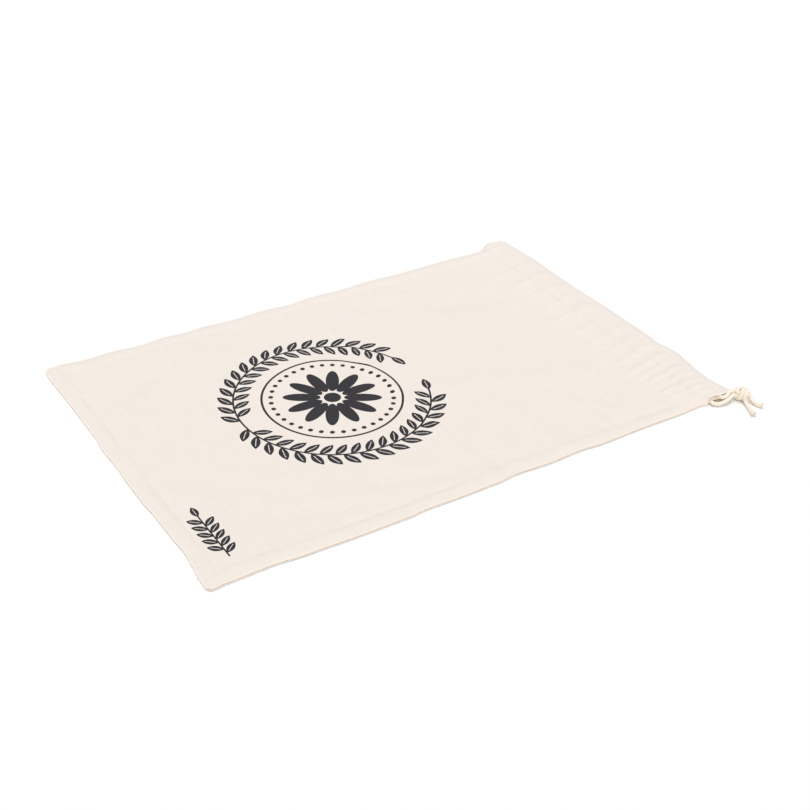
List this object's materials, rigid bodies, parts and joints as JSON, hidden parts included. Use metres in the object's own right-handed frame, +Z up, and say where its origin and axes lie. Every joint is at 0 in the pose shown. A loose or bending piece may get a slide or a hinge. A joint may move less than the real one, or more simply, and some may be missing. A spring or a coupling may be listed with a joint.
{
  "type": "bread bag",
  "caption": "Flat drawstring bread bag of plain woven cloth, lying closed on its back, with its mouth cord knotted at one corner.",
  "frame": {"origin": "middle of the bag's underside, on the surface that it lies on; the free tie at the corner isn't counted", "axes": "+X from the closed bottom towards the mouth, +Y from the tied side towards the far side, +Z up"},
  "size_m": [0.4612, 0.3353, 0.011],
  "materials": {
    "cloth": "fine plain weave, undyed cream, matt, lightly pressed",
    "cord": "soft twisted cotton cord, undyed, matt"
  },
  "bodies": {
    "root": {"back_panel": "cloth", "front_panel": "cloth", "drawstring_run": "cord", "tie_strand_front": "cord", "tie_strand_back": "cord", "tie_knot": "cord", "tie_tail_long": "cord", "tie_tail_short": "cord"}
  },
  "joints": []
}
